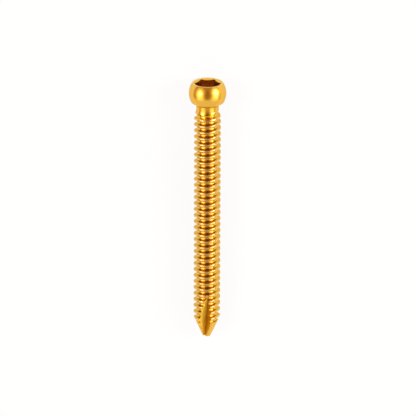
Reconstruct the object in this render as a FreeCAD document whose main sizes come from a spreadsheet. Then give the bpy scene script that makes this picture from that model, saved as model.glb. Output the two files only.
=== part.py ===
import FreeCAD, Part
import math
import os
import Sketcher

# A ball-headed, self-tapping bone screw, made from one bar of titanium.
# It is drawn along its own axis, with the tip end at height 0 and the head at the top.
# It is then laid down as it comes to rest, on its ball and on the thread near its tip.

Vector = FreeCAD.Vector
ORIGIN = (-1, 1)
SAME_PLACE = 1e-4

# Driving sizes in millimetres and degrees, each with what it measures. The last few heights
# and radii are worked out from the others.
SIZES = [
    ("overall_length", 35.2, "tip end to the flat rim of the head"),
    ("ball_diameter", 4.88, "ball head"),
    ("rim_height", 1.43, "flat rim above the centre of the ball"),
    ("rim_round", 0.08, "rounded outer edge of the rim"),
    ("ball_depth", 1.2, "centre of the ball down to its lower edge"),
    ("ball_edge_round", 0.1, "rounded lower edge of the ball"),
    ("underside_height", 0.35, "flat cone under the ball, from its lower edge in to the neck"),
    ("neck_diameter", 2.94, "plain neck under the ball"),
    ("neck_round", 0.12, "fillet between neck and underside"),
    ("thread_diameter", 3.5, "crests of the thread"),
    ("core_diameter", 2.75, "roots of the thread"),
    ("thread_pitch", 0.84, "axial distance between turns"),
    ("crest_station", 2.15, "a crest on the +X side, from the tip end"),
    ("neck_length", 0.72, "plain neck between the underside and the end of the thread"),
    ("lead_in_length", 1.0, "cone from the full thread up to the neck"),
    ("tip_end_diameter", 1.06, "flat end of the tip"),
    ("tip_half_angle", 23.5, "side of the tip cone from the axis"),
    ("flute_count", 3, "self-tapping flutes round the tip"),
    ("flute_straight", 0.95, "straight part of a flute, from the tip end"),
    ("flute_cutter_radius", 9.4, "disc that leaves the curved run-out"),
    ("flute_core", 0.03, "metal left between the level of the axis and the flute floor"),
    ("flute_offset", 0.27, "feed plane to the corner of the flute, where the curve starts"),
    ("flute_skew", 3.8, "flute from the screw's axis, towards its cutting face"),
    ("rake_lean", 28.0, "cutting face from the feed direction"),
    ("relief_lean", 36.0, "back face from the feed direction"),
    ("socket_across_flats", 3.0, "hexagon socket"),
    ("socket_depth", 2.0, "flats of the socket"),
    ("pilot_diameter", 2.8, "hole drilled before the hexagon is broached"),
    ("pilot_depth", 2.3, "full diameter of the pilot hole"),
    ("pilot_point_angle", 120.0, "point left by the drill"),
    ("countersink_diameter", 3.72, "lead-in of the socket at the rim"),
    ("countersink_angle", 120.0, "full angle of the lead-in"),
    ("rest_turn", 4.0, "turn about the screw's own axis, at which it lies still"),
    ("cut_clearance", 0.25, "how far cutting profiles reach past the metal"),
    ("ball_centre", "=overall_length - rim_height", "centre of the ball"),
    ("rim_radius", "=sqrt((ball_diameter / 2)^2 - rim_height^2)", "edge of the flat rim"),
    ("ball_edge", "=ball_centre - ball_depth", "lower edge of the ball"),
    ("ball_edge_radius", "=sqrt((ball_diameter / 2)^2 - ball_depth^2)", "lower edge of the ball"),
    ("neck_joint", "=ball_edge - underside_height", "where underside and neck meet"),
    ("thread_top", "=neck_joint - neck_length", "where the thread has run out"),
]


def fill_sheet(doc):
    """Write each size as a plain number or a formula, with an alias."""
    sheet = doc.addObject("Spreadsheet::Sheet", "Sizes")
    for row, (alias, value, meaning) in enumerate(SIZES, start=1):
        sheet.set(f"A{row}", alias)
        sheet.set(f"B{row}", str(value))
        sheet.set(f"C{row}", meaning)
        sheet.setAlias(f"B{row}", alias)
    doc.recompute()
    return sheet


def plane(body, role):
    """One of the body's own origin planes."""
    return next(feature for feature in body.Origin.OriginFeatures if feature.Role == role)


def new_sketch(body, name, role, offsets=()):
    """Start a sketch on an origin plane, moved off it by sizes of the sheet."""
    sketch = body.newObject("Sketcher::SketchObject", name)
    sketch.AttachmentSupport = (plane(body, role), [""])
    sketch.MapMode = "FlatFace"
    for side, expression in offsets:
        sketch.setExpression(f"AttachmentOffset.Base.{side}", expression)
    return sketch


def value_of(sketch, expression):
    """The present value of an expression, as a number."""
    result = sketch.evalExpression(expression)
    return float(getattr(result, "Value", result))


def chain(sketch, shapes):
    """Add edges that follow each other round a closed outline."""
    ids = [sketch.addGeometry(shape, False) for shape in shapes]
    for this, after in zip(ids, ids[1:] + ids[:1]):
        sketch.addConstraint(Sketcher.Constraint("Coincident", this, 2, after, 1))
    return ids


def outline(sketch, corners):
    """Add straight edges round a closed outline of corners."""
    return chain(sketch, [segment(a, b) for a, b in zip(corners, corners[1:] + corners[:1])])


def square(sketch, level=(), upright=()):
    """Hold edges level or upright."""
    for edge in level:
        sketch.addConstraint(Sketcher.Constraint("Horizontal", edge))
    for edge in upright:
        sketch.addConstraint(Sketcher.Constraint("Vertical", edge))


def drive(sketch, name, kind, where, expression):
    """Add a dimension that takes its value from the sheet."""
    datum = value_of(sketch, expression)
    if kind == "Angle":
        datum = math.radians(datum)
    index = sketch.addConstraint(Sketcher.Constraint(kind, *where, datum))
    sketch.renameConstraint(index, name)
    sketch.setExpression(f"Constraints.{name}", expression)


def segment(start, end):
    return Part.LineSegment(Vector(*start, 0), Vector(*end, 0))


def arc(centre, radius, start, end):
    """Arc drawn anticlockwise from one angle to the other, in degrees."""
    circle = Part.Circle(Vector(*centre, 0), Vector(0, 0, 1), radius)
    return Part.ArcOfCircle(circle, math.radians(start), math.radians(end))


def changed(doc, before, feature, sign):
    """Recompute, and stop if a feature hasn't added (1) or cut away (-1) metal."""
    before = before.Shape.Volume
    doc.recompute()
    after = feature.Shape.Volume
    if sign * (after - before) <= 0 or len(feature.Shape.Solids) != 1:
        raise RuntimeError(f"{feature.Label} left the body as it was, or in pieces")
    return feature


def lathe(doc, body, kind, name, sketch):
    """Turn a half section about the screw's axis, to add or to cut."""
    before = body.Tip or body.BaseFeature
    feature = body.newObject(f"PartDesign::{kind}", name)
    feature.Profile = sketch
    feature.ReferenceAxis = (sketch, ["V_Axis"])
    feature.Angle = 360
    return changed(doc, before, feature, 1 if kind == "Revolution" else -1)


def threaded_bar(doc, size):
    """Right-hand threaded bar, longer than the thread at both ends.

    Each turn has two flanks, ruled between the helix of the crest and the helix of the root.
    A spiral step closes each end.
    """
    pitch = size("thread_pitch")
    crest = size("thread_diameter") / 2
    root = size("core_diameter") / 2
    station = size("crest_station")
    bottom = station - pitch * (math.ceil(station / pitch) + 1)
    turns = math.ceil((size("thread_top") - bottom) / pitch)

    def helix(radius, height):
        edge = Part.makeHelix(pitch, pitch, radius).Edges[0]
        edge.translate(Vector(0, 0, height))
        return edge

    def end_step(edge, height):
        axis = Part.makeLine(Vector(0, 0, height), Vector(0, 0, height + pitch))
        spiral = Part.makeRuledSurface(axis, edge)
        corners = [
            Vector(0, 0, height),
            Vector(crest, 0, height),
            Vector(root, 0, height + pitch / 2),
            Vector(crest, 0, height + pitch),
            Vector(0, 0, height + pitch),
        ]
        return [spiral, Part.Face(Part.makePolygon(corners + corners[:1]))]

    heights = [bottom + pitch * turn for turn in range(turns + 1)]
    crests = [helix(crest, height) for height in heights]
    roots = [helix(root, height + pitch / 2) for height in heights[:-1]]
    faces = end_step(crests[0], heights[0]) + end_step(crests[-1], heights[-1])
    for below, groove, above in zip(crests, roots, crests[1:]):
        faces.append(Part.makeRuledSurface(below, groove))
        faces.append(Part.makeRuledSurface(groove, above))
    skin = Part.makeCompound(faces)
    skin.sewShape()
    bar = doc.addObject("Part::Feature", "threaded_bar")
    bar.Shape = Part.makeSolid(skin.Shells[0])
    return bar


def turn_tip(doc, body, size):
    """Turn the bar down to the cone and the flat end of the tip."""
    sketch = new_sketch(body, "tip_waste", "XZ_Plane")
    end = size("tip_end_diameter") / 2
    crest = size("thread_diameter") / 2
    outside = crest + size("cut_clearance")
    below = -3 * size("thread_pitch")
    cone_top = (crest - end) / math.tan(math.radians(size("tip_half_angle")))
    inner = [(0, 0), (end, 0), (crest, cone_top)]
    corners = inner + [(outside, cone_top), (outside, below), (0, below)]
    flat, cone, shoulder, side, base, axis = outline(sketch, corners)
    square(sketch, (flat, shoulder, base), (side, axis))
    sketch.addConstraint(Sketcher.Constraint("Coincident", flat, 1, *ORIGIN))
    drive(sketch, "tip_end", "DistanceX", (*ORIGIN, flat, 2), "Sizes.tip_end_diameter / 2")
    drive(sketch, "slope", "Angle", (cone,), "90 - Sizes.tip_half_angle")
    drive(sketch, "crest", "DistanceX", (*ORIGIN, cone, 2), "Sizes.thread_diameter / 2")
    drive(sketch, "outside", "DistanceX", (shoulder, 1, shoulder, 2), "Sizes.cut_clearance")
    drive(sketch, "below", "DistanceY", (base, 2, *ORIGIN), "3 * Sizes.thread_pitch")
    return lathe(doc, body, "Groove", "tip_cone", sketch)


def turn_lead_in(doc, body, size):
    """Turn the upper end of the thread down to the neck."""
    sketch = new_sketch(body, "lead_in_waste", "XZ_Plane")
    crest = size("thread_diameter") / 2
    neck = size("neck_diameter") / 2
    outside = crest + size("cut_clearance")
    top = size("thread_top")
    above = top + 3 * size("thread_pitch")
    full = top - size("lead_in_length")
    corners = [(0, top), (neck, top), (crest, full), (outside, full), (outside, above), (0, above)]
    flat, cone, shoulder, side, ceiling, axis = outline(sketch, corners)
    square(sketch, (flat, shoulder, ceiling), (side, axis))
    sketch.addConstraint(Sketcher.Constraint("Vertical", *ORIGIN, flat, 1))
    drive(sketch, "thread_top", "DistanceY", (*ORIGIN, flat, 1), "Sizes.thread_top")
    drive(sketch, "neck", "DistanceX", (flat, 1, flat, 2), "Sizes.neck_diameter / 2")
    drive(sketch, "crest", "DistanceX", (*ORIGIN, cone, 2), "Sizes.thread_diameter / 2")
    drive(sketch, "lead_in", "DistanceY", (cone, 2, cone, 1), "Sizes.lead_in_length")
    drive(sketch, "outside", "DistanceX", (shoulder, 1, shoulder, 2), "Sizes.cut_clearance")
    drive(sketch, "above", "DistanceY", (flat, 1, ceiling, 2), "3 * Sizes.thread_pitch")
    return lathe(doc, body, "Groove", "lead_in", sketch)


def turn_head(doc, body, size):
    """Neck and ball, with the flat rim on top and a shallow cone under the ball."""
    sketch = new_sketch(body, "head_outline", "XZ_Plane")
    base = size("thread_top")
    top = size("overall_length")
    neck = size("neck_diameter") / 2
    rim = size("rim_radius")
    centre = size("ball_centre")
    joint = size("neck_joint")
    edge = (size("ball_edge_radius"), size("ball_edge"))
    low = math.degrees(math.atan2(edge[1] - centre, edge[0]))
    high = math.degrees(math.atan2(top - centre, rim))
    shapes = [
        segment((0, base), (neck, base)),
        segment((neck, base), (neck, joint)),
        segment((neck, joint), edge),
        arc((0, centre), size("ball_diameter") / 2, low, high),
        segment((rim, top), (0, top)),
        segment((0, top), (0, base)),
    ]
    floor, stem, underside, sphere, flat, axis = chain(sketch, shapes)
    square(sketch, (floor, flat), (stem, axis))
    sketch.addConstraint(Sketcher.Constraint("Vertical", *ORIGIN, floor, 1))
    sketch.addConstraint(Sketcher.Constraint("Vertical", *ORIGIN, sphere, 3))
    drive(sketch, "base", "DistanceY", (*ORIGIN, floor, 1), "Sizes.thread_top")
    drive(sketch, "neck", "DistanceX", (floor, 1, floor, 2), "Sizes.neck_diameter / 2")
    drive(sketch, "joint", "DistanceY", (*ORIGIN, underside, 1), "Sizes.neck_joint")
    drive(sketch, "edge", "DistanceY", (*ORIGIN, underside, 2), "Sizes.ball_edge")
    drive(sketch, "ball", "Radius", (sphere,), "Sizes.ball_diameter / 2")
    drive(sketch, "centre", "DistanceY", (*ORIGIN, sphere, 3), "Sizes.ball_centre")
    drive(sketch, "rim", "DistanceY", (*ORIGIN, axis, 1), "Sizes.overall_length")
    return lathe(doc, body, "Revolution", "head", sketch)


def ring_edges(shape, radius, height):
    """Names of the round edges at one height and radius about the axis."""
    found = []
    for index, edge in enumerate(shape.Edges, start=1):
        curve = edge.Curve
        if not isinstance(curve, Part.Circle):
            continue
        place = Vector(curve.Radius, 0, curve.Center.z)
        if place.isEqual(Vector(radius, 0, height), SAME_PLACE):
            found.append(f"Edge{index}")
    return found


def round_ring(doc, body, base, name, radius, height, alias):
    """Round one turned corner."""
    edges = ring_edges(base.Shape, radius, height)
    if not edges:
        raise RuntimeError(f"{name} found no edge to round")
    rounding = body.newObject("PartDesign::Fillet", name)
    rounding.Base = (base, edges)
    rounding.setExpression("Radius", f"Sizes.{alias}")
    doc.recompute()
    return rounding


def round_head(doc, body, head, size):
    """Break the ball's two edges, and fill the corner between underside and neck."""
    rings = [
        ("rim_edge", size("rim_radius"), "overall_length", "rim_round"),
        ("lower_edge", size("ball_edge_radius"), "ball_edge", "ball_edge_round"),
        ("neck_fillet", size("neck_diameter") / 2, "neck_joint", "neck_round"),
    ]
    for name, radius, height, rounding in rings:
        head = round_ring(doc, body, head, name, radius, size(height), rounding)
    return head


def flute_section(body, size):
    """V section of a flute, drawn from the spindle of the disc that mills it."""
    reach = "Sizes.flute_core + Sizes.flute_cutter_radius"
    offsets = (("y", f"-({reach})"), ("z", "Sizes.flute_straight"))
    sketch = new_sketch(body, "flute_section", "XY_Plane", offsets)
    skew = FreeCAD.Rotation(Vector(0, 1, 0), size("flute_skew"))
    sketch.AttachmentOffset = FreeCAD.Placement(sketch.AttachmentOffset.Base, skew)
    sketch.setExpression("AttachmentOffset.Rotation.Angle", "Sizes.flute_skew")
    cutter = size("flute_cutter_radius")
    middle = -size("flute_offset")
    mouth = cutter + size("flute_core") - size("thread_diameter") / 2 - size("cut_clearance")
    rake_mouth = middle + (cutter - mouth) * math.tan(math.radians(size("rake_lean")))
    relief_mouth = middle - (cutter - mouth) * math.tan(math.radians(size("relief_lean")))
    corners = [(middle, cutter), (relief_mouth, mouth), (rake_mouth, mouth)]
    back_face, opening, rake_face = outline(sketch, corners)
    square(sketch, (opening,))
    half = "Sizes.thread_diameter / 2 + Sizes.cut_clearance"
    drive(sketch, "offset", "DistanceX", (back_face, 1, *ORIGIN), "Sizes.flute_offset")
    drive(sketch, "depth", "DistanceY", (*ORIGIN, back_face, 1), "Sizes.flute_cutter_radius")
    drive(sketch, "relief", "Angle", (back_face,), "270 - Sizes.relief_lean")
    drive(sketch, "rake", "Angle", (rake_face,), "90 + Sizes.rake_lean")
    drive(sketch, "mouth", "DistanceY", (*ORIGIN, opening, 1), f"{reach} - ({half})")
    return sketch


def mill_flutes(doc, body, size):
    """Mill the cutting flutes: straight from the tip, then curving out through the thread."""
    before = body.Tip
    section = flute_section(body, size)
    run_out = body.newObject("PartDesign::Groove", "flute_run_out")
    run_out.Profile = section
    run_out.ReferenceAxis = (section, ["H_Axis"])
    run_out.Angle = 90
    changed(doc, before, run_out, -1)
    straight = body.newObject("PartDesign::Pocket", "flute_straight")
    straight.Profile = section
    straight.setExpression("Length", "Sizes.flute_straight + Sizes.cut_clearance")
    changed(doc, run_out, straight, -1)
    flutes = body.newObject("PartDesign::PolarPattern", "flutes")
    flutes.Originals = [run_out, straight]
    flutes.Axis = (plane(body, "Z_Axis"), [""])
    flutes.Angle = 360
    flutes.setExpression("Occurrences", "Sizes.flute_count")
    body.Tip = flutes
    return changed(doc, straight, flutes, -1)


def drill_pilot(doc, body, size):
    """Drill the socket's pilot hole and countersink its mouth."""
    mark = new_sketch(body, "pilot_mark", "XY_Plane", (("z", "Sizes.overall_length"),))
    circle = Part.Circle(Vector(0, 0, 0), Vector(0, 0, 1), size("pilot_diameter") / 2)
    ring = mark.addGeometry(circle, False)
    mark.addConstraint(Sketcher.Constraint("Coincident", ring, 3, *ORIGIN))
    drive(mark, "pilot", "Diameter", (ring,), "Sizes.pilot_diameter")
    before = body.Tip
    hole = body.newObject("PartDesign::Hole", "pilot_hole")
    hole.Profile = mark
    doc.recompute()
    hole.DepthType = "Dimension"
    hole.HoleCutType = "Countersink"
    hole.DrillPoint = "Angled"
    hole.setExpression("Diameter", "Sizes.pilot_diameter")
    hole.setExpression("Depth", "Sizes.pilot_depth")
    hole.setExpression("DrillPointAngle", "Sizes.pilot_point_angle")
    hole.setExpression("HoleCutDiameter", "Sizes.countersink_diameter")
    hole.setExpression("HoleCutCountersinkAngle", "Sizes.countersink_angle")
    return changed(doc, before, hole, -1)


def broach_socket(doc, body, size):
    """Broach the hexagon over the pilot hole, two of its corners on the X axis."""
    sketch = new_sketch(body, "hexagon", "XY_Plane", (("z", "Sizes.overall_length"),))
    radius = size("socket_across_flats") / math.sqrt(3)
    turns = [math.radians(60 * side) for side in range(6)]
    corners = [(radius * math.cos(turn), radius * math.sin(turn)) for turn in turns]
    sides = outline(sketch, corners)
    ring = sketch.addGeometry(Part.Circle(Vector(0, 0, 0), Vector(0, 0, 1), radius), True)
    sketch.addConstraint(Sketcher.Constraint("Coincident", ring, 3, *ORIGIN))
    for side in sides:
        sketch.addConstraint(Sketcher.Constraint("PointOnObject", side, 1, ring))
    for side in sides[1:]:
        sketch.addConstraint(Sketcher.Constraint("Equal", sides[0], side))
    sketch.addConstraint(Sketcher.Constraint("Horizontal", *ORIGIN, sides[0], 1))
    drive(sketch, "corners", "Radius", (ring,), "Sizes.socket_across_flats / sqrt(3)")
    before = body.Tip
    socket = body.newObject("PartDesign::Pocket", "socket")
    socket.Profile = sketch
    socket.setExpression("Length", "Sizes.socket_depth")
    return changed(doc, before, socket, -1)


def lay_down(body, size):
    """Lay the screw on its ball and on the lowest full crest near its tip.

    The head points along +Y. The face that was towards -Y looks up, apart from the small turn
    about the screw's own axis at which it lies still.
    """
    ball = size("ball_diameter") / 2
    crest = size("thread_diameter") / 2
    end = size("tip_end_diameter") / 2
    pitch = size("thread_pitch")
    centre = size("ball_centre")
    cone_top = (crest - end) / math.tan(math.radians(size("tip_half_angle")))
    turn = size("rest_turn")
    station = size("crest_station") + pitch * (90 - turn) / 360
    contact = station + pitch * math.ceil((cone_top - station) / pitch)
    span = math.hypot(centre - contact, crest)
    tilt = math.asin(ball / span) - math.atan2(crest, centre - contact)
    back = -end * math.sin(tilt)
    front = size("overall_length") * math.cos(tilt) + size("rim_radius") * math.sin(tilt)
    seat = Vector(0, -(front + back) / 2, ball - centre * math.sin(tilt))
    lean = FreeCAD.Rotation(Vector(1, 0, 0), math.degrees(tilt) - 90)
    body.Placement = FreeCAD.Placement(seat, lean * FreeCAD.Rotation(Vector(0, 0, 1), turn))


def check(doc):
    """Stop if any object failed or any shape is broken."""
    for item in doc.Objects:
        if {"Invalid", "Error"} & set(item.State):
            raise RuntimeError(f"{item.Label} has failed")
        shape = getattr(item, "Shape", None)
        if shape is not None and (shape.isNull() or not shape.isValid()):
            raise RuntimeError(f"{item.Label} has a broken shape")


def main():
    doc = FreeCAD.newDocument("bone_screw")
    sheet = fill_sheet(doc)

    def size(alias):
        return float(sheet.get(alias))

    body = doc.addObject("PartDesign::Body", "bone_screw")
    body.Label = "bone_screw"
    body.BaseFeature = threaded_bar(doc, size)
    doc.recompute()
    turn_tip(doc, body, size)
    turn_lead_in(doc, body, size)
    head = turn_head(doc, body, size)
    round_head(doc, body, head, size)
    mill_flutes(doc, body, size)
    drill_pilot(doc, body, size)
    broach_socket(doc, body, size)
    lay_down(body, size)
    doc.recompute()
    check(doc)
    os.makedirs("parts", exist_ok=True)
    body.Shape.exportStep(f"parts/{body.Label}.step")


main()
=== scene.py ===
"""A gold anodised bone screw with a ball head, lying on a pale studio floor."""

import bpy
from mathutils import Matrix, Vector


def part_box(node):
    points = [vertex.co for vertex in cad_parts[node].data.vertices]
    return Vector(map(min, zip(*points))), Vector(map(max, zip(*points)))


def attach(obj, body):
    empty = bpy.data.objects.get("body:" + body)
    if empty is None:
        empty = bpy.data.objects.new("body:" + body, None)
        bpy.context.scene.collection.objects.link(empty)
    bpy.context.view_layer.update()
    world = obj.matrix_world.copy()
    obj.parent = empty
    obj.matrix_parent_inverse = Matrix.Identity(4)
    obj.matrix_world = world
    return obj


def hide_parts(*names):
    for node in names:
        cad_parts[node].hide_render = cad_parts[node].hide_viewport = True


bl_info = {
    "name": "Bone Screw",
    "version": (1, 0, 0),
    "blender": (4, 5, 0),
    "location": "View3D > Sidebar > Bone Screw",
    "description": "Builds a self-tapping bone screw with its finish, floor, lamps and camera",
    "category": "Object",
}

import math

import bmesh
import bpy
from mathutils import Matrix, Vector

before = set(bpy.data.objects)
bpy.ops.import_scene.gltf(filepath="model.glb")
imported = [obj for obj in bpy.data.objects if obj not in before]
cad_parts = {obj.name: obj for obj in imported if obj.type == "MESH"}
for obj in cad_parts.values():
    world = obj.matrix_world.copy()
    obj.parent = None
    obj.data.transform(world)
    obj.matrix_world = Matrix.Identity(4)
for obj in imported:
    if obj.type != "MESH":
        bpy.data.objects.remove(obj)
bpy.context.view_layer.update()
NODE = "bone_screw"
SLOT = "anodised_titanium"
MM = 0.001
IMAGE_WIDTH = 416
FULL_TURN = 2 * math.pi
FLOOR_REACH = 2.0

# Where a tint begins and is full; the tints on flanks and flute faces are painted shade, the one on
# flute backs painted light.
# The slopes are the share of the surface normal that points along the screw's axis, or round it.
FLANK_SLOPES = (0.65, 0.85)
LEADING_SLOPES = (-0.65, -0.8)
RELIEF_SLOPES = (0.25, 0.45)
RAKE_SLOPES = (-0.25, -0.45)
CREST_DEPTHS = (0.06 * MM, 0.01 * MM)
SOCKET_WALL_FADE = 0.05 * MM
SOCKET_FLOOR_FADE = 0.3 * MM
LEAD_IN_FADE = 0.15 * MM
CORNER_BELOW = (0.26 * MM, 0.1 * MM)
CORNER_ABOVE = 0.2 * MM

# Scales of the grain, in clouds and marks for one metre, and how flat the marks are.
CLOUD_SCALE = 900.0
MARK_SCALE = 30000.0
MARK_STRETCH = (0.06, 0.06, 1.0)
ROUGHNESS_SPREAD = (0.85, 1.15)

# Soft edges of the gap and of the front wall, as shares of their own reach.
GAP_EDGE = (0.75, 1.2)
FRONT_EDGE = (0.88, 1.12)

# Name, shape, azimuth, elevation, half width and half height in degrees, and radiance.
LAMPS = (
    ("left_strip", "RECTANGLE", -46, -16, 21, 11, 0.8),
    ("left_softbox", "ELLIPSE", -50, 10, 27, 33, 0.6),
    ("left_spot", "ELLIPSE", -48, 10, 10, 12, 8.0),
    ("right_strip", "RECTANGLE", 46, -16, 21, 11, 0.9),
    ("right_softbox", "ELLIPSE", 54, 12, 28, 35, 0.7),
    ("right_spot", "ELLIPSE", 54, 14, 12, 14, 9.5),
)


def length(name, millimetres, description):
    """A length that the user can change."""
    return bpy.props.FloatProperty(
        name=name,
        description=description,
        default=millimetres * MM,
        min=0.0,
        precision=5,
        subtype="DISTANCE",
        unit="LENGTH",
    )


def angle(name, degrees, description):
    """An angle that the user can change."""
    return bpy.props.FloatProperty(
        name=name,
        description=description,
        default=math.radians(degrees),
        subtype="ANGLE",
        unit="ROTATION",
    )


def share(name, value, description):
    """A plain number from 0 upwards."""
    return bpy.props.FloatProperty(name=name, description=description, default=value, min=0.0)


def colour(name, value, description):
    """A linear colour without alpha."""
    return bpy.props.FloatVectorProperty(
        name=name,
        description=description,
        default=value,
        size=3,
        min=0.0,
        max=1.0,
        subtype="COLOR",
    )


class ScrewThread(bpy.types.PropertyGroup):
    """The thread and its two ends."""

    crest_diameter: length("Crest diameter", 3.5, "Across the crests of the thread")
    root_diameter: length("Root diameter", 2.75, "Across the roots of the thread")
    pitch: length("Pitch", 0.84, "From one turn to the next")
    crest_width: length("Crest width", 0.15, "Flat land on each crest")
    root_width: length("Root width", 0.25, "Flat floor of each groove")
    crest_round: length("Crest rounding", 0.03, "Radius on both edges of the crest")
    root_round: length("Root rounding", 0.05, "Radius in both corners of the root")
    crest_station: length("Crest station", 2.15, "A crest on the +X side, from the tip end")
    lead_in: length("Lead-in", 1.0, "Cone from the full thread up to the neck")
    tip_diameter: length("Tip diameter", 1.06, "Flat end of the tip")
    tip_angle: angle("Tip angle", 23.5, "Side of the tip cone from the axis")
    rest_turn: angle("Rest turn", 4.0, "Turn about the screw's own axis, as it lies")
    segments: bpy.props.IntProperty(
        name="Segments", description="Steps round one turn of the thread", default=96, min=24
    )


class ScrewFlutes(bpy.types.PropertyGroup):
    """The cutting flutes in the tip."""

    count: bpy.props.IntProperty(name="Count", description="Flutes round the tip", default=3, min=1)
    straight: length("Straight length", 0.95, "Straight part of a flute, from the tip end")
    cutter_radius: length("Cutter radius", 9.4, "Disc that leaves the curved run-out")
    core: length("Core", 0.03, "Metal between the level of the axis and the flute floor")
    offset: length("Offset", 0.27, "Feed plane to the corner of the flute")
    skew: angle("Skew", 3.8, "Flute from the screw's axis, towards its cutting face")
    corner: length("Corner", 0.04, "Rounding on the edge of the cutter")
    rake: angle("Rake", 28.0, "Cutting face from the feed direction")
    relief: angle("Relief", 36.0, "Back face from the feed direction")


class ScrewHead(bpy.types.PropertyGroup):
    """The neck, the ball and the socket."""

    overall_length: length("Overall length", 35.2, "Tip end to the flat rim")
    ball_diameter: length("Ball diameter", 4.88, "Ball head")
    rim_height: length("Rim height", 1.43, "Flat rim above the centre of the ball")
    rim_round: length("Rim rounding", 0.08, "Rounded outer edge of the rim")
    neck_diameter: length("Neck diameter", 2.94, "Plain neck under the ball")
    ball_depth: length("Ball depth", 1.2, "Centre of the ball down to its lower edge")
    edge_round: length("Edge rounding", 0.1, "Rounded lower edge of the ball")
    underside_height: length("Underside height", 0.35, "Flat cone under the ball")
    neck_round: length("Neck rounding", 0.12, "Fillet between neck and underside")
    neck_length: length("Neck length", 0.72, "Plain neck between the underside and the thread")
    across_flats: length("Across flats", 3.0, "Hexagon socket")
    socket_depth: length("Socket depth", 2.0, "Flats of the socket")
    pilot_diameter: length("Pilot diameter", 2.8, "Hole under the hexagon")
    pilot_depth: length("Pilot depth", 2.3, "Full diameter of the pilot hole")
    point_angle: angle("Point angle", 120.0, "Point left by the drill")
    sink_diameter: length("Countersink diameter", 3.72, "Lead-in of the socket at the rim")
    sink_angle: angle("Countersink angle", 120.0, "Full angle of the lead-in")
    segments: bpy.props.IntProperty(
        name="Segments", description="Steps round the ball", default=144, min=24
    )


class ScrewFinish(bpy.types.PropertyGroup):
    """The anodised surface."""

    gold: colour("Gold", (0.92, 0.5, 0.05), "Colour of the anodised metal")
    edge_gold: colour("Edge gold", (0.8, 0.68, 0.36), "Colour of the metal seen at a slant")
    # Worn gold: partly rubbed oxide, partly a painted highlight on the crests and the rim.
    worn_and_highlight_gold: colour("Worn gold", (0.9, 0.69, 0.31), "Colour where the oxide is rubbed thin")
    # Flank gold: painted shade in the grooves of the thread.
    flank_painted_shade_gold: colour("Flank gold", (0.78, 0.4, 0.018), "Flanks that face the head")
    # Leading gold: painted shade on the flanks that face the tip.
    tipward_flank_painted_shade_gold: colour("Leading gold", (0.34, 0.155, 0.004), "Flanks that face the tip")
    # Relief gold: painted light, a paler tint on the backs of the flutes; their mattness is
    # roughness.
    relief_painted_light_gold: colour("Relief gold", (0.96, 0.74, 0.12), "Matt backs of the flutes")
    # Rake gold: painted shade on the cutting faces of the flutes.
    rake_painted_shade_gold: colour("Rake gold", (0.68, 0.43, 0.02), "Cutting faces of the flutes")
    # Recess gold: painted shade in the socket and in the corner under the ball.
    recess_painted_shade_gold: colour("Recess gold", (0.74, 0.42, 0.012), "Socket, and corner under the ball")
    roughness: share("Thread roughness", 0.18, "Roughness of the cut thread")
    ball_roughness: share("Ball roughness", 0.26, "Roughness of the tumbled ball")
    relief_roughness: share("Relief roughness", 0.95, "Roughness of the backs of the flutes")
    coat: share("Coat", 0.5, "Weight of the clear oxide layer")
    coat_roughness: share("Coat roughness", 0.2, "Roughness of the clear oxide layer")
    # Crest wear: how strongly the crests and rim are paled, for rubbed oxide and a painted
    # highlight.
    crest_wear_and_highlight: share("Crest wear", 0.7, "How far the crests and the rim are rubbed")


class ScrewStage(bpy.types.PropertyGroup):
    """The floor, the lamps and the camera."""

    floor_colour: colour("Floor", (0.9, 0.9, 0.9), "Colour of the floor")
    floor_glow: share("Floor glow", 0.9, "Share of plain white in what the floor shows")
    wall_colour: colour("Walls", (0.44, 0.29, 0.13), "Light from the walls of the studio")
    front_colour: colour("Front wall", (0.87, 0.87, 0.87), "Light from the wall past the tip")
    front_rise: angle("Front rise", 24.7, "Edge of the front wall's light, across to the tip")
    gap_colour: colour("Gap", (0.24, 0.12, 0.015), "Light from the gap between the lamps")
    gap_width: angle("Gap width", 13.0, "Half width of the gap, across the screw")
    gap_depth: angle("Gap depth", 33.0, "Half depth of the gap, along the screw")
    gap_lean: angle("Gap lean", 2.3, "Middle of the gap from straight across to the head")
    lamp_distance: length("Lamp distance", 500.0, "Lamps from the middle of the screw")
    lamp_level: share("Lamp level", 1.0, "Radiance of all lamps, against their own levels")
    view_elevation: angle("View elevation", 20.4, "Camera above the plane across the screw")
    view_roll: angle("View roll", 0.22, "Lean of the screw to the right in the image")
    view_distance: length("View distance", 700.0, "Camera from the middle of the screw")
    view_scale: share("View scale", 7.65, "Pixels of the image for one millimetre")
    view_station: length("View station", 17.84, "Point of the axis at half the image's height")
    view_offset: length("View offset", 0.11, "Middle of the image to the right of the axis")


def settings():
    return bpy.context.scene.bone_screw


def ball_centre():
    """Height of the ball's centre above the tip end."""
    head = settings().head
    return head.overall_length - head.rim_height


def thread_top():
    """Height at which the thread has run out under the neck."""
    head = settings().head
    return ball_centre() - head.ball_depth - head.underside_height - head.neck_length


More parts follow.
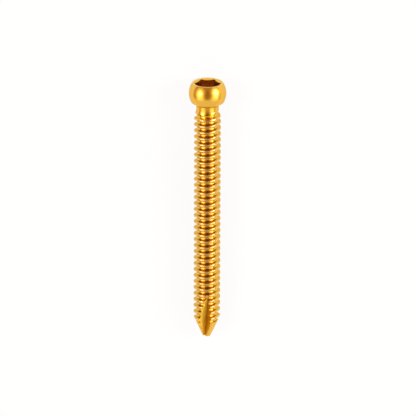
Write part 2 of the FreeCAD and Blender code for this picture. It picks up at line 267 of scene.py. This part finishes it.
def laid_down():
    """Matrix from the screw's own frame to the frame of the part.

    In its own frame the tip end is at the origin and the head is along +Z. It lies on its ball
    and on the lowest full crest near the tip. The side that was towards -Y looks up, apart from
    a small turn about the screw's own axis.
    """
    thread = settings().thread
    head = settings().head
    ball = head.ball_diameter / 2
    crest = thread.crest_diameter / 2
    end = thread.tip_diameter / 2
    centre = ball_centre()
    cone_top = (crest - end) / math.tan(thread.tip_angle)
    station = thread.crest_station + thread.pitch * (math.pi / 2 - thread.rest_turn) / FULL_TURN
    contact = station + thread.pitch * math.ceil((cone_top - station) / thread.pitch)
    span = math.hypot(centre - contact, crest)
    tilt = math.asin(ball / span) - math.atan2(crest, centre - contact)
    low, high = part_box(NODE)
    rim = math.sqrt(ball**2 - head.rim_height**2)
    front = head.overall_length * math.cos(tilt) + rim * math.sin(tilt)
    seat = Vector((0, high.y - front, ball - centre * math.sin(tilt)))
    lean = Matrix.Rotation(tilt - math.pi / 2, 4, "X")
    return Matrix.Translation(seat) @ lean @ Matrix.Rotation(thread.rest_turn, 4, "Z")


def mesh_object(name, points, faces):
    """A mesh object in the scene, from points in the screw's own frame."""
    mesh = bpy.data.meshes.new(name)
    mesh.from_pydata(points, [], faces)
    mesh.validate()
    item = bpy.data.objects.new(name, mesh)
    bpy.context.scene.collection.objects.link(item)
    return item


def rounded(corners, radii, steps):
    """An open outline through the corners, each inner corner rounded by an arc."""
    outline = [corners[0]]
    for before, corner, after, radius in zip(corners, corners[1:], corners[2:], radii):
        back = (before - corner).normalized()
        ahead = (after - corner).normalized()
        half = back.angle(ahead) / 2
        reach = radius / math.tan(half)
        centre = corner + (back + ahead).normalized() * (radius / math.sin(half))
        start = corner + back * reach - centre
        end = corner + ahead * reach - centre
        sweep = math.atan2(start.x * end.y - start.y * end.x, start.dot(end))
        for step in range(steps + 1):
            turned = Matrix.Rotation(sweep * step / steps, 2) @ start
            outline.append(centre + turned)
    outline.append(corners[-1])
    return outline


def thread_profile(thread):
    """One turn of the thread from the middle of a crest to the next, as (height, radius)."""
    crest = thread.crest_diameter / 2
    root = thread.root_diameter / 2
    corners = [
        Vector((0, crest)),
        Vector((thread.crest_width / 2, crest)),
        Vector((thread.pitch / 2 - thread.root_width / 2, root)),
        Vector((thread.pitch / 2 + thread.root_width / 2, root)),
        Vector((thread.pitch - thread.crest_width / 2, crest)),
        Vector((thread.pitch, crest)),
    ]
    radii = [thread.crest_round, thread.root_round, thread.root_round, thread.crest_round]
    arc_steps = 3
    return rounded(corners, radii, arc_steps)


def run_out(thread, neck, height, radius):
    """Radius of the thread at a height, held between the lead-in cone and the rising root."""
    root = thread.root_diameter / 2
    crest = thread.crest_diameter / 2
    into = min(1.0, max(0.0, (height - thread_top() + thread.lead_in) / thread.lead_in))
    cone = crest + (neck - crest) * into
    floor = root + (neck - root) * max(0.0, 2 * into - 1)
    return max(floor, min(cone, radius))


def threaded_bar(thread, neck):
    """A closed bar with the thread on it, from below the tip to inside the neck."""
    profile = thread_profile(thread)[:-1]
    count = thread.segments
    turns_to_spare = 4
    start = thread.crest_station - turns_to_spare * thread.pitch
    hidden_in_neck = neck * 0.99
    top = thread_top()
    turns = math.ceil((top - start) / thread.pitch)
    points = []
    for step in range(count * (turns + 1) + 1):
        turn = FULL_TURN * step / count
        base = start + thread.pitch * step / count
        for rise, radius in profile:
            height = base + rise
            reach = run_out(thread, neck, height, radius)
            if height > top:
                reach = hidden_in_neck
            points.append((reach * math.cos(turn), reach * math.sin(turn), height))
    width = len(profile)

    def index(step, place):
        """Place width on one turn is place 0 on the turn above."""
        return step * width + place if place < width else (step + count) * width

    faces = []
    for step in range(count * turns):
        for place in range(width):
            corners = [(step, place), (step + 1, place), (step + 1, place + 1), (step, place + 1)]
            faces.append([index(*corner) for corner in corners])
    for first, side in ((0, -1), (count * turns, 1)):
        loop = [index(first + step, 0) for step in range(count + 1)]
        loop += [index(first, place) for place in range(width - 1, 0, -1)]
        hub = len(points)
        points.append((0, 0, start + thread.pitch * (first / count + 0.5)))
        for this, after in zip(loop, loop[1:] + loop[:1]):
            faces.append([hub, this, after] if side > 0 else [hub, after, this])
    used = sorted({corner for face in faces for corner in face})
    place_of = {old: new for new, old in enumerate(used)}
    points = [points[old] for old in used]
    faces = [[place_of[corner] for corner in face] for face in faces]
    return mesh_object("threaded_bar", points, faces)


def turned(name, outline, count):
    """A closed body turned about Z from an outline of (radius, height), both ends on the axis."""
    points = []
    rings = []
    for radius, height in outline:
        if radius < 1e-9:
            rings.append([len(points)] * count)
            points.append((0, 0, height))
            continue
        rings.append(list(range(len(points), len(points) + count)))
        for step in range(count):
            turn = FULL_TURN * step / count
            points.append((radius * math.cos(turn), radius * math.sin(turn), height))
    faces = []
    for below, above in zip(rings, rings[1:]):
        for step in range(count):
            after = (step + 1) % count
            corners = [below[step], below[after], above[after], above[step]]
            faces.append(list(dict.fromkeys(corners)))
    return mesh_object(name, points, faces)


def tip_waste(thread):
    """What the lathe takes off round the tip cone, as a closed ring."""
    end = thread.tip_diameter / 2
    crest = thread.crest_diameter / 2
    cone_top = (crest - end) / math.tan(thread.tip_angle)
    spare = thread.pitch
    below = -5 * thread.pitch
    wide = crest + spare
    slope = math.tan(thread.tip_angle)
    outline = [
        (0, below),
        (wide, below),
        (wide, cone_top + spare),
        (crest + spare * slope, cone_top + spare),
        (end, 0),
        (0, 0),
    ]
    segments = 128
    return turned("tip_waste", outline, segments)


def flute_section(thread, flutes):
    """V section of a flute as (sideways, height above its floor), mouth to mouth."""
    mouth = thread.crest_diameter / 2 + thread.pitch / 2 - flutes.core
    corners = [
        Vector((-flutes.offset - mouth * math.tan(flutes.relief), mouth)),
        Vector((-flutes.offset, 0)),
        Vector((-flutes.offset + mouth * math.tan(flutes.rake), mouth)),
    ]
    arc_steps = 5
    return rounded(corners, [flutes.corner], arc_steps)


def flute_cutter(thread, flutes, number):
    """The space that the milling disc sweeps for one flute."""
    section = flute_section(thread, flutes)
    spindle = flutes.cutter_radius + flutes.core
    stations = [(-2 * thread.pitch, 0.0)]
    steps = 32
    sweep = math.radians(50)
    stations += [(flutes.straight, sweep * step / steps) for step in range(steps + 1)]
    turn = Matrix.Rotation(FULL_TURN * number / flutes.count, 3, "Z")
    lean = Matrix.Rotation(flutes.skew, 3, "Y")
    origin = Vector((0, 0, flutes.straight))
    points = []
    for height, swing in stations:
        for sideways, above in section:
            reach = flutes.cutter_radius - above
            outward = spindle - reach * math.cos(swing)
            place = Vector((sideways, -outward, height + reach * math.sin(swing)))
            points.append(turn @ (origin + lean @ (place - origin)))
    width = len(section)
    faces = [list(range(width)), list(range(len(points) - 1, len(points) - width - 1, -1))]
    for ring in range(len(stations) - 1):
        for place in range(width):
            after = (place + 1) % width
            low = ring * width
            high = low + width
            faces.append([low + after, low + place, high + place, high + after])
    return mesh_object(f"flute_cutter_{number}", points, faces)


def hexagon_cutter(head):
    """The broach for the socket, two of its corners on the X axis."""
    radius = head.across_flats / math.sqrt(3)
    low = head.overall_length - head.socket_depth
    high = head.overall_length + head.socket_depth
    points = []
    for height in (low, high):
        for side in range(6):
            turn = FULL_TURN * side / 6
            points.append((radius * math.cos(turn), radius * math.sin(turn), height))
    faces = [[5, 4, 3, 2, 1, 0], [6, 7, 8, 9, 10, 11]]
    faces += [[side, (side + 1) % 6, (side + 1) % 6 + 6, side + 6] for side in range(6)]
    return mesh_object("hexagon_cutter", points, faces)


def cut(item, cutters):
    """Cut closed shapes out of an object, and remove them."""
    group = bpy.data.collections.new("cutters")
    bpy.context.scene.collection.children.link(group)
    for cutter in cutters:
        repair(cutter)
        bpy.context.scene.collection.objects.unlink(cutter)
        group.objects.link(cutter)
    repair(item)
    knife = item.modifiers.new("cut", "BOOLEAN")
    knife.operation = "DIFFERENCE"
    knife.solver = "EXACT"
    knife.operand_type = "COLLECTION"
    knife.collection = group
    apply_modifiers(item)
    for cutter in cutters:
        bpy.data.objects.remove(cutter)
    bpy.data.collections.remove(group)


def repair(item):
    """Point all faces of a closed mesh outwards."""
    shell = bmesh.new()
    shell.from_mesh(item.data)
    bmesh.ops.recalc_face_normals(shell, faces=shell.faces)
    shell.to_mesh(item.data)
    shell.free()


def apply_modifiers(item):
    """Make the result of the modifiers the object's own mesh."""
    graph = bpy.context.evaluated_depsgraph_get()
    mesh = bpy.data.meshes.new_from_object(item.evaluated_get(graph))
    item.modifiers.clear()
    item.data = mesh


def head_outline(head):
    """Half section of neck, ball, countersink and pilot hole, axis to axis."""
    ball = head.ball_diameter / 2
    neck = head.neck_diameter / 2
    top = head.overall_length
    centre = ball_centre()
    edge = Vector((math.sqrt(ball**2 - head.ball_depth**2), centre - head.ball_depth))
    joint = Vector((neck, edge.y - head.underside_height))
    rising = Vector((head.ball_depth, edge.x)).normalized() * head.edge_round
    stem = [Vector((neck, thread_top())), joint, edge, edge + rising]
    arc_steps = 6
    radii = [head.neck_round, head.edge_round]
    outline = [Vector((0, thread_top()))] + rounded(stem, radii, arc_steps)
    meet = math.atan2(outline[-1].y - centre, outline[-1].x)
    rim = head.rim_round
    rim_height = top - rim
    rim_reach = math.sqrt((ball - rim) ** 2 - (rim_height - centre) ** 2)
    leave = math.atan2(rim_height - centre, rim_reach)
    ball_steps = 72
    for step in range(1, ball_steps + 1):
        turn = meet + (leave - meet) * step / ball_steps
        outline.append(Vector((ball * math.cos(turn), centre + ball * math.sin(turn))))
    rim_centre = Vector((rim_reach, rim_height))
    for step in range(1, arc_steps + 1):
        turn = leave + (math.pi / 2 - leave) * step / arc_steps
        outline.append(rim_centre + rim * Vector((math.cos(turn), math.sin(turn))))
    sink = head.sink_diameter / 2
    pilot = head.pilot_diameter / 2
    outline.append(Vector((sink, top)))
    outline.append(Vector((pilot, top - (sink - pilot) / math.tan(head.sink_angle / 2))))
    outline.append(Vector((pilot, top - head.pilot_depth)))
    outline.append(Vector((0, top - head.pilot_depth - pilot / math.tan(head.point_angle / 2))))
    return outline


def smooth(item):
    """Smooth shading with crisp edges, flat faces kept flat."""
    crisp = math.radians(27)
    item.data.shade_smooth()
    item.data.set_sharp_from_angle(angle=crisp)
    weighted = item.modifiers.new("weighted normals", "WEIGHTED_NORMAL")
    weighted.weight = 90
    weighted.keep_sharp = True
    apply_modifiers(item)


def joined(first, second):
    """Put a second mesh into the first object."""
    merged = bmesh.new()
    merged.from_mesh(first.data)
    merged.from_mesh(second.data)
    merged.to_mesh(first.data)
    merged.free()
    bpy.data.objects.remove(second)
    return first


def feed(tree, target, value):
    """Link an output to an input, or set a constant on it."""
    if isinstance(value, bpy.types.NodeSocket):
        tree.links.new(value, target)
    else:
        target.default_value = value


def opaque(linear):
    """A linear colour with full alpha."""
    return (*linear, 1.0)


def smooth_step(tree, value, low, high, top=1.0):
    """Output that rises softly from 0 to top while a value goes from low to high."""
    node = tree.nodes.new("ShaderNodeMapRange")
    node.interpolation_type = "SMOOTHSTEP"
    node.inputs["From Min"].default_value = low
    node.inputs["From Max"].default_value = high
    node.inputs["To Max"].default_value = top
    tree.links.new(value, node.inputs["Value"])
    return node.outputs["Result"]


def calculated(tree, operation, *values):
    """Output of a calculation with one or two numbers."""
    node = tree.nodes.new("ShaderNodeMath")
    node.operation = operation
    for target, value in zip(node.inputs, values):
        feed(tree, target, value)
    return node.outputs["Value"]


def calculated_vector(tree, operation, *vectors):
    """Output of a calculation with vectors, which is a number for a length or a dot product."""
    node = tree.nodes.new("ShaderNodeVectorMath")
    node.operation = operation
    for target, vector in zip(node.inputs, vectors):
        feed(tree, target, vector)
    return node.outputs["Value" if operation in ("LENGTH", "DOT_PRODUCT") else "Vector"]


def mixed(tree, kind, factor, base, over):
    """Output between two colours, of kind RGBA, or two numbers, of kind FLOAT."""
    node = tree.nodes.new("ShaderNodeMix")
    node.data_type = kind
    feed(tree, node.inputs["Factor"], factor)
    feed(tree, node.inputs["A"], base)
    feed(tree, node.inputs["B"], over)
    return node.outputs["Result"]


def in_own_frame(tree, vector, lay):
    """Output that brings a vector back through the matrix by which the screw was laid down."""
    node = tree.nodes.new("ShaderNodeMapping")
    node.vector_type = "TEXTURE"
    node.inputs["Location"].default_value = lay.translation
    node.inputs["Rotation"].default_value = lay.to_euler()
    tree.links.new(vector, node.inputs["Vector"])
    return node.outputs["Vector"]


def fine_grain_group():
    """Node group: slow clouds and fine turning marks, for a polished lathe-turned metal."""
    group = bpy.data.node_groups.new("fine_grain", "ShaderNodeTree")
    face = group.interface
    face.new_socket(name="Position", in_out="INPUT", socket_type="NodeSocketVector")
    for name in ("Cloud Scale", "Mark Scale"):
        face.new_socket(name=name, in_out="INPUT", socket_type="NodeSocketFloat")
    for name in ("Clouds", "Marks"):
        face.new_socket(name=name, in_out="OUTPUT", socket_type="NodeSocketFloat")
    enter = group.nodes.new("NodeGroupInput")
    leave = group.nodes.new("NodeGroupOutput")
    position = enter.outputs["Position"]
    flattened = calculated_vector(group, "MULTIPLY", position, MARK_STRETCH)
    noises = (("Clouds", "Cloud Scale", position, 4.0), ("Marks", "Mark Scale", flattened, 3.0))
    for name, scale, vector, detail in noises:
        noise = group.nodes.new("ShaderNodeTexNoise")
        noise.inputs["Detail"].default_value = detail
        group.links.new(vector, noise.inputs["Vector"])
        group.links.new(enter.outputs[scale], noise.inputs["Scale"])
        group.links.new(noise.outputs["Fac"], leave.inputs[name])
    return group


def shank_masks(tree, place, radius, lay):
    """Masks of crests, flanks, flanks that face the tip, backs and faces of the flutes; the flanks
    and flute faces carry painted shade, the flute backs painted light.
    """
    crest = settings().thread.crest_diameter / 2
    wear_and_highlight = settings().finish.crest_wear_and_highlight
    axis = lay.to_3x3() @ Vector((0, 0, 1))
    normal = place.outputs["Normal"]
    slope = calculated_vector(tree, "DOT_PRODUCT", normal, axis)
    steepness = calculated(tree, "ABSOLUTE", slope)
    from_tip = calculated_vector(tree, "SUBTRACT", place.outputs["Object"], lay.translation)
    around = calculated_vector(tree, "CROSS_PRODUCT", from_tip, -axis)
    spin = calculated_vector(tree, "DOT_PRODUCT", around, normal)
    sideways = calculated(tree, "DIVIDE", spin, radius)
    return (
        smooth_step(tree, radius, *(crest - depth for depth in CREST_DEPTHS), wear_and_highlight),
        # The next masks carry painted shade on the flanks and flute faces and painted light on the
        # flute backs.
        smooth_step(tree, steepness, *FLANK_SLOPES),
        smooth_step(tree, slope, *LEADING_SLOPES),
        smooth_step(tree, sideways, *RELIEF_SLOPES),
        smooth_step(tree, sideways, *RAKE_SLOPES),
    )


def head_masks(tree, height, radius):
    """Masks of the rim, paler for rubbed oxide and a painted highlight, and of the recesses, socket
    and corner under the ball, which carry painted shade.
    """
    head = settings().head
    wear_and_highlight = settings().finish.crest_wear_and_highlight
    rim = head.overall_length
    # Rim paled for rubbed oxide and a painted highlight.
    rim_wear_and_highlight = smooth_step(tree, height, rim - head.rim_round, rim - head.rim_round / 4, wear_and_highlight)
    mouth = head.sink_diameter / 2
    # Painted shade in the socket, down to the pilot floor and below the lead-in.
    within = smooth_step(tree, radius, mouth, mouth - SOCKET_WALL_FADE)
    floor = rim - head.pilot_depth
    over_floor = smooth_step(tree, height, floor - SOCKET_FLOOR_FADE, floor)
    lead_in = rim - (head.sink_diameter - head.across_flats) / 2 / math.tan(head.sink_angle / 2)
    under_lead_in = smooth_step(tree, height, lead_in, lead_in - LEAD_IN_FADE)
    hollow = calculated(tree, "MULTIPLY", within, over_floor)
    socket = calculated(tree, "MULTIPLY", hollow, under_lead_in)
    # Painted shade in the corner between the neck and the underside of the ball.
    corner = ball_centre() - head.ball_depth - head.underside_height
    over_neck = smooth_step(tree, height, *(corner - depth for depth in CORNER_BELOW))
    top = corner + head.underside_height
    under_ball = smooth_step(tree, height, top, corner + CORNER_ABOVE)
    crevice_shade = calculated(tree, "MULTIPLY", over_neck, under_ball)
    return rim_wear_and_highlight, calculated(tree, "MAXIMUM", socket, crevice_shade)


def anodised_material():
    """Gold anodised titanium: painted shade on flanks, flute faces and recesses, painted light on
    flute backs, crests and rim paler for rubbed oxide and a painted highlight.
    """
    finish = settings().finish
    lay = laid_down()
    material = bpy.data.materials.new(SLOT)
    material.use_nodes = True
    tree = material.node_tree
    nodes = tree.nodes
    shader = nodes["Principled BSDF"]
    shader.inputs["Metallic"].default_value = 1.0
    shader.inputs["Specular Tint"].default_value = opaque(finish.edge_gold)
    shader.inputs["Coat Weight"].default_value = finish.coat
    shader.inputs["Coat Roughness"].default_value = finish.coat_roughness

    place = nodes.new("ShaderNodeTexCoord")
    upright = in_own_frame(tree, place.outputs["Object"], lay)
    height = calculated_vector(tree, "DOT_PRODUCT", upright, (0, 0, 1))
    across = calculated_vector(tree, "MULTIPLY", upright, (1, 1, 0))
    radius = calculated_vector(tree, "LENGTH", across)
    shank_top = thread_top()
    shank = smooth_step(tree, height, shank_top, shank_top - settings().thread.lead_in / 4)
    crest, flank_shade, leading_shade, relief, rake = (
        calculated(tree, "MULTIPLY", mask, shank)
        for mask in shank_masks(tree, place, radius, lay)
    )
    rim_wear_and_highlight, recess_shade = head_masks(tree, height, radius)
    # Tints over the gold: painted shade on flanks, tip-facing flanks, flute faces and recesses,
    # painted light on flute backs, crests and rim paled for rubbed oxide and a painted highlight.
    layers = (
        (flank_shade, finish.flank_painted_shade_gold),
        (leading_shade, finish.tipward_flank_painted_shade_gold),
        (calculated(tree, "MAXIMUM", crest, rim_wear_and_highlight), finish.worn_and_highlight_gold),
        (relief, finish.relief_painted_light_gold),
        (rake, finish.rake_painted_shade_gold),
        (recess_shade, finish.recess_painted_shade_gold),
    )
    tint = opaque(finish.gold)
    for mask, over in layers:
        tint = mixed(tree, "RGBA", mask, tint, opaque(over))
    tree.links.new(tint, shader.inputs["Base Color"])

    grain = nodes.new("ShaderNodeGroup")
    grain.node_tree = fine_grain_group()
    grain.inputs["Cloud Scale"].default_value = CLOUD_SCALE
    grain.inputs["Mark Scale"].default_value = MARK_SCALE
    tree.links.new(upright, grain.inputs["Position"])
    spread = nodes.new("ShaderNodeMapRange")
    spread.inputs["To Min"].default_value = ROUGHNESS_SPREAD[0]
    spread.inputs["To Max"].default_value = ROUGHNESS_SPREAD[1]
    tree.links.new(grain.outputs["Clouds"], spread.inputs["Value"])
    polish = mixed(tree, "FLOAT", shank, finish.ball_roughness, finish.roughness)
    matt = mixed(tree, "FLOAT", relief, polish, finish.relief_roughness)
    rough = calculated(tree, "MULTIPLY", matt, spread.outputs["Result"])
    tree.links.new(rough, shader.inputs["Roughness"])
    bump = nodes.new("ShaderNodeBump")
    bump.inputs["Strength"].default_value = 0.05
    bump.inputs["Distance"].default_value = 0.01 * MM
    tree.links.new(grain.outputs["Marks"], bump.inputs["Height"])
    tree.links.new(bump.outputs["Normal"], shader.inputs["Normal"])
    return material


def floor_material():
    """Pale floor, lifted towards plain white for the camera and in reflections."""
    stage = settings().stage
    material = bpy.data.materials.new("pale_floor")
    material.use_nodes = True
    tree = material.node_tree
    nodes = tree.nodes
    shader = nodes["Principled BSDF"]
    shader.inputs["Base Color"].default_value = opaque(stage.floor_colour)
    shader.inputs["Roughness"].default_value = 0.9
    white = nodes.new("ShaderNodeEmission")
    path = nodes.new("ShaderNodeLightPath").outputs
    reflected = calculated(tree, "MAXIMUM", path["Is Glossy Ray"], path["Is Transmission Ray"])
    seen = calculated(tree, "MAXIMUM", path["Is Camera Ray"], reflected)
    mix = nodes.new("ShaderNodeMixShader")
    tree.links.new(calculated(tree, "MULTIPLY", seen, stage.floor_glow), mix.inputs["Fac"])
    tree.links.new(shader.outputs["BSDF"], mix.inputs[1])
    tree.links.new(white.outputs["Emission"], mix.inputs[2])
    tree.links.new(mix.outputs["Shader"], nodes["Material Output"].inputs["Surface"])
    return material


def surroundings():
    """Studio with warm walls, a light wall past the tip and a dark gap between the lamps."""
    stage = settings().stage
    world = bpy.data.worlds.new("studio")
    world.use_nodes = True
    tree = world.node_tree
    nodes = tree.nodes
    place = nodes.new("ShaderNodeTexCoord")
    turn_only = laid_down().to_3x3().to_4x4()
    direction = in_own_frame(tree, place.outputs["Generated"], turn_only)
    gap_middle = (0, 0, math.sin(stage.gap_lean))
    gap_scale = (1 / math.sin(stage.gap_width), 0, 1 / math.sin(stage.gap_depth))
    off_middle = calculated_vector(tree, "SUBTRACT", direction, gap_middle)
    squeezed = calculated_vector(tree, "MULTIPLY", off_middle, gap_scale)
    outward = calculated_vector(tree, "LENGTH", squeezed)
    beside_gap = smooth_step(tree, outward, *GAP_EDGE)
    rise = calculated_vector(tree, "DOT_PRODUCT", direction, (0, 0, 1))
    front_reach = math.sin(stage.front_rise)
    in_front = smooth_step(tree, rise, *(-edge * front_reach for edge in FRONT_EDGE))
    walls = mixed(tree, "RGBA", beside_gap, opaque(stage.gap_colour), opaque(stage.wall_colour))
    light = mixed(tree, "RGBA", in_front, walls, opaque(stage.front_colour))
    tree.links.new(light, nodes["Background"].inputs["Color"])
    return world


class BoneScrewBody(bpy.types.Operator):
    """Build the screw: thread, flutes, neck, ball and socket"""

    bl_idname = "bone_screw.body"
    bl_label = "Screw"

    def execute(self, context):
        thread = settings().thread
        flutes = settings().flutes
        head = settings().head
        shank = threaded_bar(thread, head.neck_diameter / 2)
        cutters = [flute_cutter(thread, flutes, number) for number in range(flutes.count)]
        cut(shank, [tip_waste(thread)] + cutters)
        ball = turned("ball_head", head_outline(head), head.segments)
        cut(ball, [hexagon_cutter(head)])
        screw = joined(shank, ball)
        screw.name = "screw"
        screw.data.materials.clear()
        screw.data.materials.append(anodised_material())
        smooth(screw)
        screw.data.transform(laid_down())
        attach(screw, "root")
        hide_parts(NODE)
        return {"FINISHED"}


def softbox(name, shape, azimuth, elevation, half_width, half_height, radiance):
    """A soft lamp that looks at the middle of the screw, with all angles in degrees.

    Azimuth turns round the screw's axis from the side that looks up to the right, and
    elevation rises towards the head.
    """
    stage = settings().stage
    turn = math.radians(azimuth)
    rise = math.radians(elevation)
    direction = Vector(
        (math.sin(turn) * math.cos(rise), -math.cos(turn) * math.cos(rise), math.sin(rise))
    )
    lay = laid_down()
    lamp = bpy.data.lights.new(name, "AREA")
    lamp.shape = shape
    lamp.size = 2 * stage.lamp_distance * math.tan(math.radians(half_width))
    lamp.size_y = 2 * stage.lamp_distance * math.tan(math.radians(half_height))
    area = lamp.size * lamp.size_y * (1 if shape == "RECTANGLE" else math.pi / 4)
    lamp.energy = radiance * stage.lamp_level * math.pi * area
    item = bpy.data.objects.new(name, lamp)
    bpy.context.scene.collection.objects.link(item)
    towards = (lay.to_3x3() @ direction).normalized()
    upward = (lay.to_3x3() @ Vector((0, 0, 1))).normalized()
    middle = lay @ Vector((0, 0, stage.view_station))
    item.matrix_world = looking(middle + towards * stage.lamp_distance, towards, upward)
    return item


def looking(place, towards, upward):
    """Matrix of a lamp or camera that looks back along a direction."""
    across = upward.cross(towards).normalized()
    turned_to = Matrix((across, towards.cross(across), towards)).transposed().to_4x4()
    return Matrix.Translation(place) @ turned_to


class BoneScrewStage(bpy.types.Operator):
    """Build the floor, the lamps and the camera"""

    bl_idname = "bone_screw.stage"
    bl_label = "Stage"

    def execute(self, context):
        stage = settings().stage
        scene = context.scene
        signs = ((-1, -1), (1, -1), (1, 1), (-1, 1))
        corners = [(FLOOR_REACH * x, FLOOR_REACH * y, 0) for x, y in signs]
        floor = mesh_object("floor", corners, [[0, 1, 2, 3]])
        floor.data.materials.append(floor_material())
        for lamp in LAMPS:
            softbox(*lamp)
        scene.world = surroundings()
        scene.view_settings.view_transform = "Standard"
        scene.camera = studio_camera(stage)
        return {"FINISHED"}


def studio_camera(stage):
    """The camera, above the screw and towards its head, with the head up in the image."""
    lay = laid_down()
    rise = stage.view_elevation
    towards = lay.to_3x3() @ Vector((0, -math.cos(rise), math.sin(rise)))
    upward = lay.to_3x3() @ Vector((0, math.sin(rise), math.cos(rise)))
    lens = bpy.data.cameras.new("camera")
    lens.sensor_width = 36.0
    shown = IMAGE_WIDTH / stage.view_scale * MM
    lens.lens = lens.sensor_width * stage.view_distance / shown
    lens.clip_start = 0.01
    item = bpy.data.objects.new("camera", lens)
    bpy.context.scene.collection.objects.link(item)
    aim = lay @ Vector((stage.view_offset, 0, stage.view_station))
    roll = Matrix.Rotation(stage.view_roll, 4, "Z")
    item.matrix_world = looking(aim + towards * stage.view_distance, towards, upward) @ roll
    return item


class BoneScrewSettings(bpy.types.PropertyGroup):
    """Everything that can be changed about the screw."""

    thread: bpy.props.PointerProperty(type=ScrewThread, name="Thread", description="The thread")
    flutes: bpy.props.PointerProperty(type=ScrewFlutes, name="Flutes", description="The flutes")
    head: bpy.props.PointerProperty(type=ScrewHead, name="Head", description="The head")
    finish: bpy.props.PointerProperty(type=ScrewFinish, name="Finish", description="The finish")
    stage: bpy.props.PointerProperty(type=ScrewStage, name="Stage", description="The stage")


class BoneScrewPanel(bpy.types.Panel):
    """Sidebar panel that lists the builders"""

    bl_idname = "VIEW3D_PT_bone_screw"
    bl_label = "Bone Screw"
    bl_space_type = "VIEW_3D"
    bl_region_type = "UI"
    bl_category = "Bone Screw"

    def draw(self, context):
        layout = self.layout
        for operator in (BoneScrewBody, BoneScrewStage):
            layout.operator(operator.bl_idname)
        for part in ("thread", "flutes", "head", "finish", "stage"):
            group = getattr(context.scene.bone_screw, part)
            box = layout.box()
            box.label(text=part.capitalize())
            for name in group.__annotations__:
                box.prop(group, name)


CLASSES = (
    ScrewThread,
    ScrewFlutes,
    ScrewHead,
    ScrewFinish,
    ScrewStage,
    BoneScrewSettings,
    BoneScrewBody,
    BoneScrewStage,
    BoneScrewPanel,
)


def register():
    for item in CLASSES:
        bpy.utils.register_class(item)
    bpy.types.Scene.bone_screw = bpy.props.PointerProperty(
        type=BoneScrewSettings, name="Bone screw", description="Settings of the bone screw"
    )


def unregister():
    del bpy.types.Scene.bone_screw
    for item in reversed(CLASSES):
        bpy.utils.unregister_class(item)


def main():
    register()
    bpy.ops.bone_screw.body()
    bpy.ops.bone_screw.stage()


if __name__ == "__main__":
    main()
